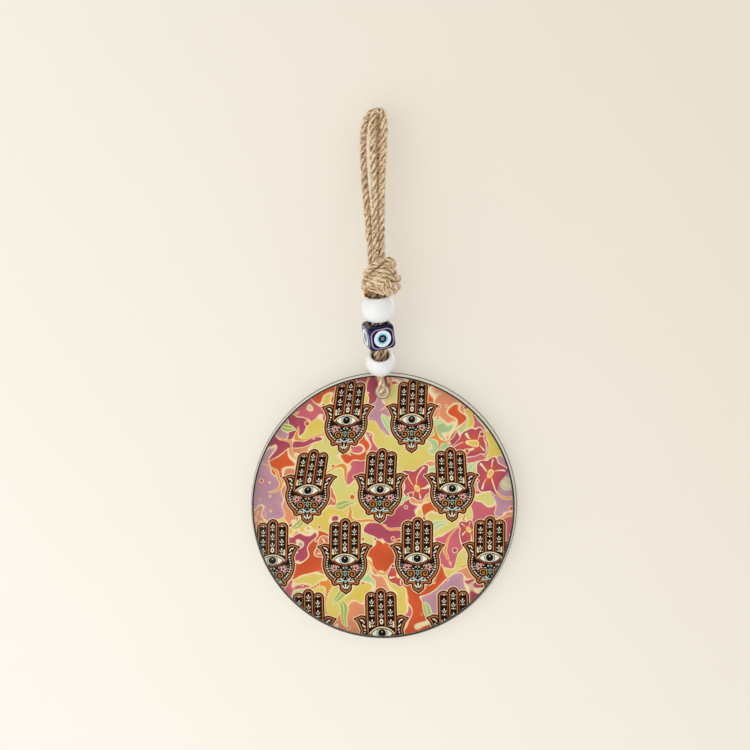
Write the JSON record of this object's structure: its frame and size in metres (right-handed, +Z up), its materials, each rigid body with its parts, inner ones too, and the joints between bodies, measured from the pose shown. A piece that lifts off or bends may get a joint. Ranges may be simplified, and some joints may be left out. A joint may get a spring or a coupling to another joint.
{
  "type": "glass wall hanging",
  "caption": "Round printed glass disc on a knotted jute cord with wooden beads and a glass eye bead; the disc swings on its cord and the beads spin on it.",
  "frame": {"origin": "nail seat: the inside top of the front hanging loop, where the nail carries the ornament", "axes": "+Z up along the hanging cord, +X to the viewer's right, -Y towards the viewer, +Y to the wall"},
  "size_m": [0.13, 0.033, 0.2584],
  "materials": {
    "jute": "twisted natural jute, matt, hairy",
    "white_wood": "white lacquer over turned wood, satin",
    "navy_glass": "opaque dark blue lampwork glass, glossy",
    "lilac_glass": "opaque lilac glass line, glossy",
    "white_glass": "opaque white glass, glossy",
    "aqua_glass": "opaque pale blue glass, glossy",
    "black_glass": "opaque black glass, glossy",
    "grey_glass": "opaque grey glass, glossy",
    "clear_glass": "clear polished glass with a rounded edge",
    "print": "printed film, many colours, seen through the glass"
  },
  "bodies": {
    "cord": {"overhand_knot": "jute", "threaded_cord": "jute", "front_hanging_loop": "jute", "rear_hanging_loop": "jute"},
    "disc": {"glass_disc": "clear_glass", "print_film": "print"},
    "upper_bead": {"upper_wood_bead": "white_wood"},
    "cube": {"cube_bead": "navy_glass", "eye_rings": "lilac_glass", "eye_whites": "white_glass", "eye_blues": "aqua_glass", "eye_pupils": "black_glass", "eye_centres": "grey_glass"},
    "lower_bead": {"lower_wood_bead": "white_wood"}
  },
  "joints": [
    {"name": "disc_swing", "type": "hinge", "parent": "cord", "child": "disc", "pos_m": [0, 0.00636, -0.13402], "axis": [0, 1, 0], "range_deg": [-20, 20]},
    {"name": "upper_bead_spin", "type": "hinge", "parent": "cord", "child": "upper_bead", "pos_m": [-0.00165, -0.01099, -0.09409], "axis": [-0.0523, -0.3416, 0.9384], "continuous": true},
    {"name": "cube_spin", "type": "hinge", "parent": "cord", "child": "cube", "pos_m": [-0.0015, -0.00608, -0.10689], "axis": [-0.1045, -0.3726, 0.9221], "continuous": true},
    {"name": "lower_bead_spin", "type": "hinge", "parent": "cord", "child": "lower_bead", "pos_m": [-0.0008, -0.00079, -0.12018], "axis": [0, -0.7071, 0.7071], "continuous": true}
  ]
}
